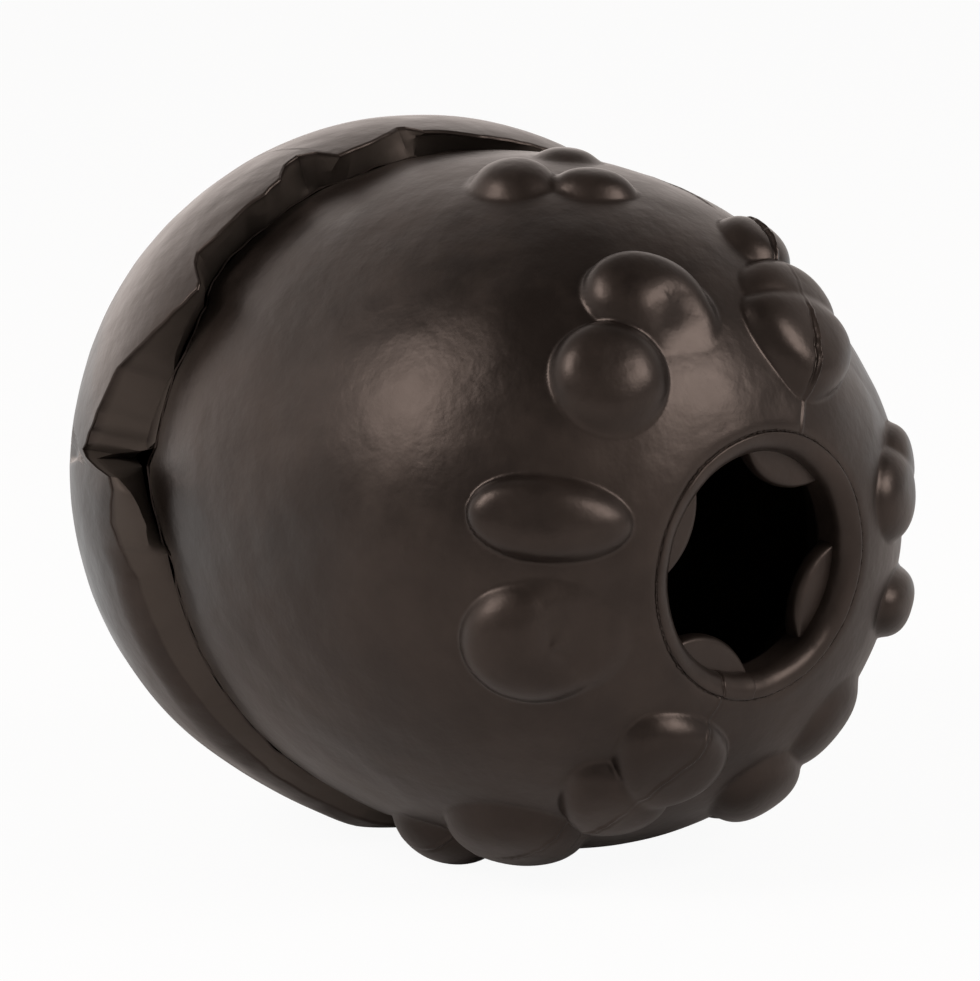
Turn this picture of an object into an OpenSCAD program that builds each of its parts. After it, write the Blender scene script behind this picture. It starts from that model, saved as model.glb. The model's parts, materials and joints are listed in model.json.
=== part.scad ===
// A hollow rubber egg, with raised knobs on its front, a cracked shell over its rear, and a mouth
// with four flaps that hold treats back. Lengths are in millimetres and angles in degrees.
// The egg is drawn along the X axis, its widest ring at x = 0 and its mouth at +X, and is then
// tipped and lifted so that it stands on its two feet and the belly of its shell.
// A place round the egg is an angle from the top, turning towards +Y, which is the egg's left side.

/* [Egg body] */
// Greatest radius of the egg
egg_r = 40.1; // [37:0.1:44]
// Length from the widest ring to where the nose would close
nose_l = 45.4; // [43:0.1:50]
// Length from the widest ring to the rear pole
tail_l = 54.4; // [50:0.1:60]
// Fullness of the nose curve, 2 for an ellipse
nose_power = 2.43; // [2.2:0.01:2.7]
// Rubber wall round the chamber
egg_wall = 6; // [4:0.1:8]
// Rubber between the nose and the front of the chamber
nose_wall = 9; // [8.5:0.1:11]
// Where the two halves of the egg meet, from the top
seam_turn = 23; // [0:1:45]

/* [Knobs] */
// Footprint of a middling knob
knob_w = 12.7; // [9:0.1:14]
// Height of a middling knob above the egg
knob_h = 3.6; // [2.5:0.1:4.5]
// Place of each foot from the bottom of the egg, round its axis
foot_turn = 24; // [18:1:30]
// Distance of the feet ahead of the widest ring
foot_x = 6.7; // [4:0.1:10]

/* [Cracked shell] */
// Distance of the shell's widest ring behind the egg's
shell_back = 17.9; // [14:0.1:22]
// Distance that the shell's widest ring stands out beyond the egg's
shell_rise = 2; // [1.5:0.01:3]
// Length from the shell's widest ring to where its front would close, were it not broken off
shell_front_l = 41; // [38:0.1:60]
// Thickness of the shell at the rear pole
shell_tail_wall = 4.3; // [3:0.1:6]
// Distance of the front of the crack behind the egg's widest ring
crack_x = 6.7; // [5:0.1:9]
// Depth of the crack's teeth, front to rear
crack_l = 24.3; // [18:0.1:26]
// Length of the longest facet that slopes from the crack's edge to the egg
facet_l = 11; // [5:0.1:12]

/* [Mouth ring] */
// Radius of the line where the ring meets the egg
mouth_r = 15.24; // [14.6:0.01:16]
// Width of the rounded lip, from that line to the throat
lip_w = 2.54; // [2:0.01:3]
// Depth of the rounded lip, from the mouth to the throat
lip_l = 2.1; // [1.5:0.1:2.4]
// Depth of the ring's narrow front part
collar_l = 1.6; // [1.2:0.1:2]
// Distance that the flange, which the egg holds, stands out beyond the mouth line
flange_w = 2.96; // [2.5:0.01:3.5]
// Distance of the flange's full radius behind the mouth
flange_x = 3.6; // [3:0.1:4]
// Length of the whole ring
ring_l = 7; // [6.5:0.1:7.4]
// Distance that the throat widens towards the ring's rear end
throat_flare = 2.3; // [1.5:0.1:2.6]

/* [Flaps] */
// Place of the first flap round the mouth, from the top
flap_turn = 27; // [0:1:89]
// Thickness of a flap
flap_t = 2.4; // [2:0.1:2.6]
// Distance of a flap's front face behind the mouth
flap_x = 2.3; // [2.1:0.1:2.6]
// Radius of a flap's rounded outline
flap_r = 8.3; // [7:0.1:9]
// Distance that a flap reaches in from the throat's wall
flap_reach = 3.6; // [2.5:0.1:4.5]
// Distance of a flap's bending line inside the throat's wall
root_depth = 0.3; // [0.2:0.05:0.4]
// Width of the root that joins a flap to its bead
root_w = 6.6; // [5:0.1:7]
// Length of the bead that the ring holds
bead_l = 10; // [8:0.1:11]
// Angle that a flap bends to each side
flap_swing = 25; // [10:1:25]

/* [Fits] */
// Bond line between bonded pieces
bond_gap = 0.15; // [0.1:0.01:0.25]
// Clearance round a flap's root and bead
flap_gap = 0.25; // [0.2:0.01:0.35]

/* [Hidden] */
$fn = 96;
rubber = [0.16, 0.15, 0.14];
dark_rubber = [0.12, 0.11, 0.105];
half_turn = 180;
quarter_turn = 90;

// Number of bands along the nose and the tail, outside and in the chamber, and along a knob
nose_bands = 16;
tail_bands = 12;
chamber_bands = 8;
knob_bands = 10;
// Radius of the flat at the rear pole
pole_r = 2;

// Radii of the throat, of the ring's flange and rear end, and of the flaps' tips
throat_r = mouth_r - lip_w;
flange_r = mouth_r + flange_w;
ring_rear_r = throat_r + throat_flare;
flap_tip = throat_r - flap_reach;

// The nose is a superellipse: x = nose_l sin(a)^(2/p) and r = egg_r cos(a)^(2/p)
curve = 2 / nose_power;
mouth_angle = acos(pow(mouth_r / egg_r, 1 / curve));
mouth_x = nose_l * pow(sin(mouth_angle), curve);
chamber_r = egg_r - egg_wall;
chamber_nose_l = nose_l - nose_wall;
chamber_tail_l = tail_l - egg_wall;
neck_r = ring_rear_r + bond_gap;
neck_angle = acos(pow(neck_r / chamber_r, 1 / curve));

// Overrun of the cuts, and of the crack's slanting facets past the shell's skin
over = 1;
facet_over = 0.3;
// Reach of the blocks that cut the egg in two, and how far past the seam a knob's middle may lie
// and still leave some of the knob in a half
reach = 2 * (nose_l + tail_l);
knob_reach_turn = 20;

// Radius of the egg ahead of and behind its widest ring, and the lean of its skin there
function nose_radius(x) = egg_r * pow(1 - pow(x / nose_l, nose_power), 1 / nose_power);
function nose_lean(x) = atan(egg_r / nose_l * pow(x / nose_l, nose_power - 1)
    * pow(1 - pow(x / nose_l, nose_power), 1 / nose_power - 1));
function tail_radius(x) = egg_r * sqrt(1 - pow(x / tail_l, 2));

// Outlines as [radius, x], from the front to the widest ring and on to the rear pole
function nose_outline(length, radius, start, bands) = [
    for (i = [0 : bands]) let (a = start * (1 - i / bands))
        [radius * pow(cos(a), curve), length * pow(sin(a), curve)]
];
function tail_outline(length, radius, bands) = concat(
    [for (i = [1 : bands - 1]) let (a = quarter_turn * i / bands) [radius * cos(a), -length * sin(a)]],
    [[pole_r, -length], [0, -length]]
);

// Every knob but the feet: place along the nose as a share of nose_l, place round the egg,
// length and width as shares of knob_w, height as a share of knob_h, turn of its long axis from
// the egg's meridian, and how much its front end tapers
second_row_shares = [
    [0.184, -9, 0.78, 0.78, 0.70, 0, 0],
    [0.337, -0.5, 0.75, 0.56, 0.62, 50, 0],
    [0.060, 9, 0.60, 0.60, 0.40, 0, 0],
    [0.485, -151.5, 1.18, 1.18, 0.88, 0, 0],
    [0.485, 151.5, 1.18, 1.18, 0.88, 0, 0],
    [0.602, 23, 0.76, 0.76, 0.64, 0, 0]
];
// The row round the mouth
first_row_shares = [
    [0.741, -15.0, 1.12, 0.88, 0.90, 42, 0],
    [0.808, -35, 0.97, 0.97, 0.90, 0, 0],
    [0.818, -71, 1.32, 0.74, 0.86, 8, -0.05],
    [0.822, -102, 1.28, 1.05, 0.90, -16, -0.05],
    [0.772, 24.5, 1.06, 0.78, 0.68, 90, 0],
    [0.872, 24, 1.10, 0.98, 0.88, 90, 0],
    [0.743, 165, 1.18, 0.90, 0.84, 42, 0],
    [0.795, 145.5, 0.95, 0.95, 0.54, 0, 0],
    [0.800, 110.9, 1.16, 0.66, 0.78, 8, -0.05],
    [0.840, 78.8, 1.25, 0.88, 0.58, -16, -0.05],
    [0.764, -151.5, 1.07, 0.86, 0.86, 90, 0],
    [0.870, -154, 1.10, 1.00, 0.90, 90, 0]
];
knob_shares = concat(second_row_shares, first_row_shares);

// A foot is a ball sunk in the egg, so that it stands knob_h proud on a footprint of knob_w
foot_r = (pow(knob_w / 2, 2) + pow(knob_h, 2)) / (2 * knob_h);
foot_out = nose_radius(foot_x) + knob_h - foot_r;

// The shell is part of an ellipsoid laid over the tail
shell_r = egg_r + shell_rise;
shell_l = tail_l - shell_back + bond_gap + shell_tail_wall;
function shell_radius(x) = let (length = x > -shell_back ? shell_front_l : shell_l)
    shell_r * sqrt(1 - pow((x + shell_back) / length, 2));

// The crack over half a turn, which then repeats: place round the egg, place of the shell's edge
// as a share of crack_l behind crack_x, and length of the facet ahead of it as a share of facet_l
crack_shares = [
    [-157, 0.09, 0.18], [-151, 0.18, 0.22], [-146, 0.23, 0.25], [-133, 0.32, 0.2],
    [-123, 0.4, 0.26], [-115, 0.485, 0.355], [-103, 0.58, 0.51], [-92, 0.68, 0.6],
    [-84, 0.69, 0.46], [-83, 0.9, 0.79], [-81.5, 1, 0.91], [-76.7, 0.955, 0.79],
    [-72, 0.89, 0.645], [-67, 0.82, 0.51], [-65, 0.75, 0.37], [-60, 0.61, 0.11],
    [-54, 0.485, 0.02], [-50.5, 0.43, 0.02], [-46.5, 0.57, 0.06], [-44.5, 0.605, 0.02],
    [-37.5, 0.54, 0.02], [-31, 0.49, 0.02], [-26.5, 0.515, 0.02], [-23.5, 0.59, 0.02],
    [-20.5, 0.61, 0.04], [-18.5, 0.44, 0.02], [-16, 0.355, 0.02], [-9, 0.36, 0.04],
    [-4.5, 0.39, 0.12], [-3, 0.27, 0.04], [0.6, 0.21, 0.04], [4.5, 0.12, 0.06],
    [8, 0.085, 0.06], [16.5, 0, 0.1]
];
crack = [for (turn = [0, half_turn], c = crack_shares)
    [c[0] + turn, -crack_x - c[1] * crack_l, -crack_x - c[1] * crack_l + c[2] * facet_l]];

// The egg stands where its two feet and its shell's belly reach equally low. Each of these gives
// how low one of them reaches below the axis when the nose is dipped by an angle.
function foot_drop(dip) = foot_x * sin(dip) + foot_out * cos(foot_turn) * cos(dip) + foot_r;
function shell_drop(dip) = -shell_back * sin(dip)
    + norm([(dip > 0 ? shell_front_l : shell_l) * sin(dip), shell_r * cos(dip)]);
function level_dip(low, high, steps) =
    steps == 0 ? (low + high) / 2
    : let (middle = (low + high) / 2)
        foot_drop(middle) < shell_drop(middle) ? level_dip(middle, high, steps - 1)
        : level_dip(low, middle, steps - 1);
most_dip = 30;
dip_steps = 30;
dip = level_dip(-most_dip, most_dip, dip_steps);
stand_h = shell_drop(dip);
front_reach = mouth_x * cos(dip) + mouth_r * sin(dip);
rear_reach = shell_back * cos(dip) + norm([shell_l * cos(dip), shell_r * sin(dip)]);
stand_x = (rear_reach - front_reach) / 2;

// A flap's bending line and the middle of its thickness
pivot_r = throat_r + root_depth;
pivot_x = mouth_x - flap_x - flap_t / 2;
bead_r = flap_t / 2;
flap_turns = [for (i = [0 : 3]) flap_turn + i * quarter_turn];
// A flap keeps this far from the axis but for its root, so that its corners clear the lip
flap_clear_r = throat_r - flap_t / 2 * sin(flap_swing) - flap_gap;

// Turns what is drawn about Z, as [radius, height], to lie along X
module lathe(points) {
    rotate([0, quarter_turn, 0]) rotate_extrude() polygon(points);
}

// Puts children round the egg at an angle from the top
module round_egg(turn) {
    rotate([-turn, 0, 0]) children();
}

module stand() {
    translate([stand_x, 0, stand_h]) rotate([0, dip, 0]) children();
}

// An egg-shaped lump lying along X, half of it above z = 0
module lump(length, width, height, taper) {
    ball_r = (pow(width / 2, 2) + pow(height, 2)) / (2 * height);
    ball_l = ball_r * length / width;
    points = [for (i = [0 : knob_bands]) let (a = half_turn * i / knob_bands)
        [ball_r * sin(a) * (1 + taper * cos(a)), ball_l * cos(a)]];
    translate([0, 0, height - ball_r])
        if (length == width) sphere(r = ball_r);
        else lathe(points);
}

module knob(k) {
    x = k[0] * nose_l;
    round_egg(k[1]) translate([x, 0, nose_radius(x)]) rotate([0, nose_lean(x), 0]) rotate([0, 0, k[5]])
        lump(k[2] * knob_w, k[3] * knob_w, k[4] * knob_h, k[6]);
}

module foot(turn) {
    round_egg(turn) translate([foot_x, 0, foot_out]) sphere(r = foot_r);
}

module egg_outside() {
    lathe(concat([[0, mouth_x]], nose_outline(nose_l, egg_r, mouth_angle, nose_bands),
        tail_outline(tail_l, egg_r, tail_bands)));
}

module chamber() {
    front = nose_outline(chamber_nose_l, chamber_r, neck_angle, chamber_bands);
    lathe(concat([[0, front[0][1]]], front, tail_outline(chamber_tail_l, chamber_r, chamber_bands)));
}

// The hole through the nose that holds the ring
module ring_seat() {
    lathe([
        [0, mouth_x + over],
        [mouth_r + bond_gap, mouth_x + over],
        [mouth_r + bond_gap, mouth_x - collar_l + bond_gap],
        [flange_r + bond_gap, mouth_x - flange_x + bond_gap],
        [flange_r + bond_gap, mouth_x - ring_l],
        [neck_r, mouth_x - ring_l],
        [neck_r, mouth_x - nose_wall - over],
        [0, mouth_x - nose_wall - over]
    ]);
}

// Half of the egg, on the side of the seam that lies at an angle from the top
module body_half(middle) {
    near = quarter_turn + knob_reach_turn;
    difference() {
        union() {
            egg_outside();
            for (k = knob_shares)
                if (cos(k[1] - middle) > cos(near)) knob(k);
            for (turn = [half_turn - foot_turn, foot_turn - half_turn])
                if (cos(turn - middle) > cos(near)) foot(turn);
        }
        chamber();
        ring_seat();
        round_egg(middle) translate([-reach / 2, -reach / 2, -reach]) cube(reach);
    }
}

module right_body_half() {
    color(rubber) stand() body_half(seam_turn - quarter_turn);
}

module left_body_half() {
    color(rubber) stand() body_half(seam_turn + quarter_turn);
}

// Everything behind the crack: facets rise from the egg to the shell's edge
module behind_crack() {
    n = len(crack);
    wide = shell_r + shell_l;
    function round_point(turn, x, r) = [x, r * sin(turn), r * cos(turn)];
    function slope(c) = (c[1] - c[2]) / (shell_radius(c[1]) - tail_radius(c[2]));
    inner = [for (c = crack)
        round_point(c[0], c[2] - slope(c) * facet_over, tail_radius(c[2]) - facet_over)];
    outer = [for (c = crack)
        round_point(c[0], c[1] + slope(c) * facet_over, shell_radius(c[1]) + facet_over)];
    rim = [for (c = crack) round_point(c[0], c[1] + slope(c) * facet_over, wide)];
    rear = [for (c = crack) round_point(c[0], -reach, wide)];
    ends = [[-crack_x - crack_l / 2, 0, 0], [-reach, 0, 0]];
    rings = 4;
    function band(a, b) = [for (i = [0 : n - 1]) let (j = (i + 1) % n)
        each [[a * n + i, a * n + j, b * n + j], [a * n + i, b * n + j, b * n + i]]];
    front_fan = [for (i = [0 : n - 1]) [rings * n, (i + 1) % n, i]];
    rear_fan = [for (i = [0 : n - 1]) [rings * n + 1, (rings - 1) * n + i, (rings - 1) * n + (i + 1) % n]];
    polyhedron(
        points = concat(inner, outer, rim, rear, ends),
        faces = concat(front_fan, band(1, 0), band(2, 1), band(3, 2), rear_fan)
    );
}

module shell_cap() {
    outside = [for (i = [0 : 2 * tail_bands]) let (a = quarter_turn * i / tail_bands)
        [shell_r * sin(a), (a < quarter_turn ? shell_front_l : shell_l) * cos(a) - shell_back]];
    inside = concat([[0, over], [egg_r + bond_gap, over], [egg_r + bond_gap, 0]],
        tail_outline(tail_l + bond_gap, egg_r + bond_gap, tail_bands));
    color(dark_rubber) stand() intersection() {
        difference() {
            lathe(outside);
            lathe(inside);
        }
        behind_crack();
    }
}

// Puts children on a flap's bending line: X stays, Z points out from the throat
module at_flap(turn) {
    round_egg(turn) translate([pivot_x, 0, pivot_r]) children();
}

// The plate that joins a flap to its bead, grown by a gap for the slot that it moves in
module root_plate(gap) {
    depth = pivot_r - throat_r + flap_t + gap;
    translate([-flap_t / 2 - gap, -root_w / 2 - gap, -depth])
        cube([flap_t + 2 * gap, root_w + 2 * gap, depth]);
}

module bead(gap) {
    rotate([quarter_turn, 0, 0]) cylinder(r = bead_r + gap, h = bead_l + 2 * gap, center = true);
}

module mouth_ring() {
    land_rear = mouth_x - flap_x - flap_t - flap_gap;
    lip_bands = 8;
    lip = [for (i = [0 : lip_bands]) let (a = quarter_turn * i / lip_bands)
        [mouth_r - (mouth_r - throat_r) * sin(a), mouth_x - lip_l * (1 - cos(a))]];
    color(dark_rubber) stand() difference() {
        lathe(concat(lip, [
            [throat_r, land_rear],
            [ring_rear_r, mouth_x - ring_l],
            [flange_r, mouth_x - ring_l],
            [flange_r, mouth_x - flange_x],
            [mouth_r, mouth_x - collar_l]
        ]));
        for (turn = flap_turns) at_flap(turn) {
            bead(flap_gap);
            for (swing = [-flap_swing, 0, flap_swing]) rotate([0, swing, 0]) root_plate(flap_gap);
        }
    }
}

// A rounded flap with a straight root and a bead along its bending line
module flap(turn) {
    middle = flap_tip + flap_r - pivot_r;
    color(rubber) stand() union() {
        at_flap(turn) {
            bead(0);
            root_plate(0);
        }
        intersection() {
            at_flap(turn) translate([0, 0, middle]) rotate([0, quarter_turn, 0])
                cylinder(r = flap_r, h = flap_t, center = true);
            translate([pivot_x, 0, 0]) rotate([0, quarter_turn, 0])
                cylinder(r = flap_clear_r, h = 2 * flap_t, center = true);
        }
    }
}

module upper_left_flap() {
    flap(flap_turns[0]);
}

module lower_left_flap() {
    flap(flap_turns[1]);
}

module lower_right_flap() {
    flap(flap_turns[2]);
}

module upper_right_flap() {
    flap(flap_turns[3]);
}

right_body_half();
left_body_half();
shell_cap();
mouth_ring();
upper_left_flap();
lower_left_flap();
lower_right_flap();
upper_right_flap();
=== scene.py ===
"""Dresses a hollow black rubber treat dispensing ball, and lights it as for a product picture.

The ball is an egg that lies on its side. Its front carries raised knobs, its rear is covered by a
cracked shell, and four flexible flaps reach across its mouth. Sizes are in millimetres and angles in
degrees. The egg is worked out in its own frame, where X runs along its axis towards the mouth, X = 0
is the widest ring, and a turn is the angle from the top (+Z) towards the egg's left side (+Y).
"""
from __future__ import annotations

import json
import logging
import math
from dataclasses import dataclass
from enum import Enum

import bpy
import numpy as np
from mathutils import Matrix, Vector

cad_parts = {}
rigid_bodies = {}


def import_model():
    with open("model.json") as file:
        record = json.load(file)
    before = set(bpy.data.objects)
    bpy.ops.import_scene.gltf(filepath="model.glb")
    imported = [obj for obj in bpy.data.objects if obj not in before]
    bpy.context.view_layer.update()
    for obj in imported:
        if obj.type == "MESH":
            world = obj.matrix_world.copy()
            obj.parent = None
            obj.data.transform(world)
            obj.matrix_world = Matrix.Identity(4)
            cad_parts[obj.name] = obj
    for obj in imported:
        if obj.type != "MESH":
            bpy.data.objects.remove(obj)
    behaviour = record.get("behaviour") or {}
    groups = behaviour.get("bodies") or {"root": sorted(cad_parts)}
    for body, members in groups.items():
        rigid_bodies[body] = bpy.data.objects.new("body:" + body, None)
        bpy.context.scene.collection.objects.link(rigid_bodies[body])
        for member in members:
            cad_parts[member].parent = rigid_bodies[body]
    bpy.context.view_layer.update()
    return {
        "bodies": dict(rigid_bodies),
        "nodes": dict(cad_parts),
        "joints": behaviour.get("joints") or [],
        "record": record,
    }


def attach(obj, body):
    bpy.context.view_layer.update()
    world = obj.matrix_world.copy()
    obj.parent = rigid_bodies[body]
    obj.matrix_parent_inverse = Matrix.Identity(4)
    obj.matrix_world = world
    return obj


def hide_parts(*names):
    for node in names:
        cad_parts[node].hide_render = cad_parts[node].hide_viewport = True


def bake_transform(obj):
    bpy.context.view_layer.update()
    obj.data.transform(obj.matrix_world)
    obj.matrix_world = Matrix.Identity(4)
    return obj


LOG = logging.getLogger("treat_ball")
MM = 0.001
BURIED = -5.0
FAR_SIDE = 2.2
STEEPEST = 50.0
WAVE_HEIGHTS = (0.05, 0.02)
Array = np.ndarray


class Side(Enum):
    """The half of the egg on either side of the mould's parting line: where its columns start."""

    RIGHT = -157.0
    LEFT = 23.0


class Flap(Enum):
    """Each flap's CAD name and its turn round the mouth."""

    UPPER_LEFT = ("upper_left_flap", 27.0)
    LOWER_LEFT = ("lower_left_flap", 117.0)
    LOWER_RIGHT = ("lower_right_flap", -153.0)
    UPPER_RIGHT = ("upper_right_flap", -63.0)


def ripple(points: Array, size: float, seed: int, waves: int = 7) -> Array:
    """Smooth noise: the mean of sine waves that run in random directions.

    Args:
        points: Places, with X, Y and Z along the last axis.
        size: Typical length of a wave.
        seed: Picks the directions and phases.
        waves: Number of waves.

    Returns:
        A value of about -1 to 1 at each place.
    """
    rng = np.random.default_rng(seed)
    total = np.zeros(points.shape[:-1])
    for _ in range(waves):
        way = rng.normal(size=3)
        way *= 2 * np.pi / (size * rng.uniform(0.7, 1.5) * np.linalg.norm(way))
        total += np.sin(points @ way + rng.uniform(0, 2 * np.pi))
    return total / math.sqrt(waves)


def faint_waves(points: Array, sizes: tuple[float, float], seed: int) -> Array:
    """The unevenness of moulded rubber: long low waves with shorter and lower ones on them.

    Args:
        points: Places, with X, Y and Z along the last axis.
        sizes: Typical lengths of the long and the short waves.
        seed: Picks the long waves, and the number after it the short ones.

    Returns:
        The height of the waves at each place.
    """
    long_waves = WAVE_HEIGHTS[0] * ripple(points, sizes[0], seed)
    return long_waves + WAVE_HEIGHTS[1] * ripple(points, sizes[1], seed + 1)


def ring_noise(turns: Array, lowest: int, highest: int, seed: int) -> Array:
    """Noise round a full turn that meets itself: a sum of whole-numbered waves.

    Args:
        turns: Angles in degrees.
        lowest: Fewest waves in a full turn.
        highest: Most waves in a full turn.
        seed: Picks the strengths and phases.

    Returns:
        A value of about -1 to 1 at each angle.
    """
    rng = np.random.default_rng(seed)
    counts = np.arange(lowest, highest + 1)
    phases = rng.uniform(0, 2 * np.pi, len(counts))
    strengths = rng.normal(size=len(counts)) / math.sqrt(len(counts))
    waves = np.sin(np.radians(turns)[..., None] * counts + phases)
    return (waves * strengths).sum(-1) * 1.4


def from_line(turns: Array, line: float | Array) -> Array:
    """Turns measured from a line that runs along the egg, from -180 to 180."""
    return (turns - line + 180) % 360 - 180


def ease(share: Array) -> Array:
    """Turns an even rise from 0 to 1 into one that starts and ends level."""
    return share * share * (3 - 2 * share)


def revolve(x: Array, radius: Array, angles: Array) -> Array:
    """Places round the egg's axis.

    Args:
        x: Places along the axis.
        radius: Distances from it.
        angles: Turns round it, in radians.

    Returns:
        Points, with X, Y and Z along the last axis.
    """
    return np.stack([x + 0 * angles, radius * np.sin(angles), radius * np.cos(angles)], -1)


def smooth_max(a: Array, b: Array, blend: Array | float) -> Array:
    """The larger of two heights, with a fillet where they cross.

    Args:
        a: First height.
        b: Second height.
        blend: Width of the fillet, as a difference in height.

    Returns:
        The blended height.
    """
    gap = np.maximum(blend - np.abs(a - b), 0)
    return np.maximum(a, b) + gap * gap / (4 * np.maximum(blend, 1e-6))


def resample(line: Array, steps: Array) -> Array:
    """Places along a polyline at given shares of its length.

    Args:
        line: Points in order, one to a row.
        steps: Shares of the length, from 0 to 1.

    Returns:
        One point for each share.
    """
    legs = np.linalg.norm(np.diff(line, axis=0), axis=1)
    along = np.concatenate([[0], np.cumsum(legs)])
    return np.stack([np.interp(steps * along[-1], along, line[:, k]) for k in range(line.shape[1])], 1)


def grid_quads(rows: int, columns: int, closed: bool) -> Array:
    """Quads of a grid whose vertices run along each row in turn.

    Args:
        rows: Number of rows.
        columns: Number of vertices in a row.
        closed: Whether the last column joins the first.

    Returns:
        Four vertex numbers for each quad.
    """
    across = columns if closed else columns - 1
    i, j = np.meshgrid(np.arange(rows - 1), np.arange(across), indexing="ij")
    k = (j + 1) % columns
    here, beyond = i * columns, (i + 1) * columns
    return np.stack([here + j, here + k, beyond + k, beyond + j], -1).reshape(-1, 4)


def bar_faces(rows: int, columns: int) -> list:
    """Faces of a bar whose rows run round it and whose two ends are closed.

    Args:
        rows: Number of rows round the bar.
        columns: Number of vertices in a row, from one end to the other.

    Returns:
        Vertex numbers of its faces.
    """
    count = rows * columns
    sides = grid_quads(rows + 1, columns, False) % count
    ends = [list(range(0, count, columns)), list(range(columns - 1, count, columns))[::-1]]
    return sides.tolist() + ends


def pole_fans(rows: int, columns: int, closed: bool) -> list:
    """Triangles that join a grid's first and last rows to two poles, numbered after the grid.

    Args:
        rows: Number of rows.
        columns: Number of vertices in a row.
        closed: Whether the last column joins the first.

    Returns:
        Vertex numbers of the triangles.
    """
    j = np.arange(columns if closed else columns - 1)
    k = (j + 1) % columns
    first, last, count = rows * columns, rows * columns + 1, len(j)
    front = np.stack([j, k, np.full(count, first)], 1)
    rear = np.stack([(rows - 1) * columns + j, (rows - 1) * columns + k, np.full(count, last)], 1)
    return front.tolist() + rear.tolist()


def add_node(nodes: bpy.types.Nodes, kind: str, settings: dict | None = None,
             **values: float | tuple) -> bpy.types.Node:
    """Adds a shader node.

    Args:
        nodes: The nodes that it joins.
        kind: Its type, without ShaderNode in front.
        settings: Values of its own settings, which are set first.
        values: Values of its inputs, with an underscore for each space in a name.

    Returns:
        The node.
    """
    made = nodes.new("ShaderNode" + kind)
    for name, value in (settings or {}).items():
        setattr(made, name, value)
    for name, value in values.items():
        made.inputs[name.replace("_", " ")].default_value = value
    return made


@dataclass(frozen=True)
class EggFrame:
    """Where the egg's own frame lies in the model: its mouth, its axis and its top."""

    mouth: Array
    forward: Array
    up: Array

    @classmethod
    def from_record(cls, record: dict) -> "EggFrame":
        """Reads the mouth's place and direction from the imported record.

        Args:
            record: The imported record.

        Returns:
            The frame.
        """
        mount = next(m for m in record["mounts"] if m["name"] == "mouth")
        forward = np.array(mount["axis"], float)
        forward /= np.linalg.norm(forward)
        up = np.array([-forward[2], 0.0, forward[0]])
        return cls(np.array(mount["pos_m"], float), forward, up)

    def place(self, points: Array, mouth_x: float) -> Array:
        """Takes points in the egg's frame, in millimetres, to the model's frame, in metres."""
        return self.mouth + self.turn((points - np.array([mouth_x, 0, 0])) * MM)

    def turn(self, ways: Array) -> Array:
        """Takes directions in the egg's frame to the model's frame."""
        return ways @ np.stack([self.forward, np.array([0.0, 1.0, 0.0]), self.up])


@dataclass(frozen=True)
class EggForm:
    """The egg's smooth outline: a superellipse ahead of the widest ring and an ellipse behind it."""

    radius: float = 40.1
    nose_length: float = 45.4
    tail_length: float = 54.4
    nose_power: float = 2.43
    mouth_radius: float = 15.24

    @property
    def mouth_x(self) -> float:
        """Place of the mouth along the axis."""
        share = 1 - (self.mouth_radius / self.radius) ** self.nose_power
        return self.nose_length * share ** (1 / self.nose_power)

    def outline(self, x: Array, grow: float = 0.0) -> Array:
        """Radius of the outline at places along the axis.

        Args:
            x: Places along the axis.
            grow: Distance that the outline is moved outwards.

        Returns:
            The radius at each place.
        """
        nose = np.clip(x / (self.nose_length + grow), 0, 1)
        tail = np.clip(-x / (self.tail_length + grow), 0, 1)
        radius = self.radius + grow
        front = radius * (1 - nose ** self.nose_power) ** (1 / self.nose_power)
        return np.where(x > 0, front, radius * np.sqrt(1 - tail ** 2))

    def normal(self, x: Array, turns: Array) -> Array:
        """Outward direction of the outline's skin.

        Args:
            x: Places along the axis.
            turns: Turns round it.

        Returns:
            Unit directions.
        """
        step = 1e-3
        slope = (self.outline(x + step) - self.outline(x - step)) / (2 * step)
        slope = np.clip(slope, -STEEPEST, STEEPEST)
        flat = np.stack([-slope, np.ones_like(slope)], -1)
        flat /= np.linalg.norm(flat, axis=-1, keepdims=True)
        return revolve(flat[..., 0], flat[..., 1], np.radians(turns))

    def points(self, x: Array, turns: Array, grow: float = 0.0) -> Array:
        """Places on the skin, in the egg's frame."""
        return revolve(x, self.outline(x, grow), np.radians(turns))


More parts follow.
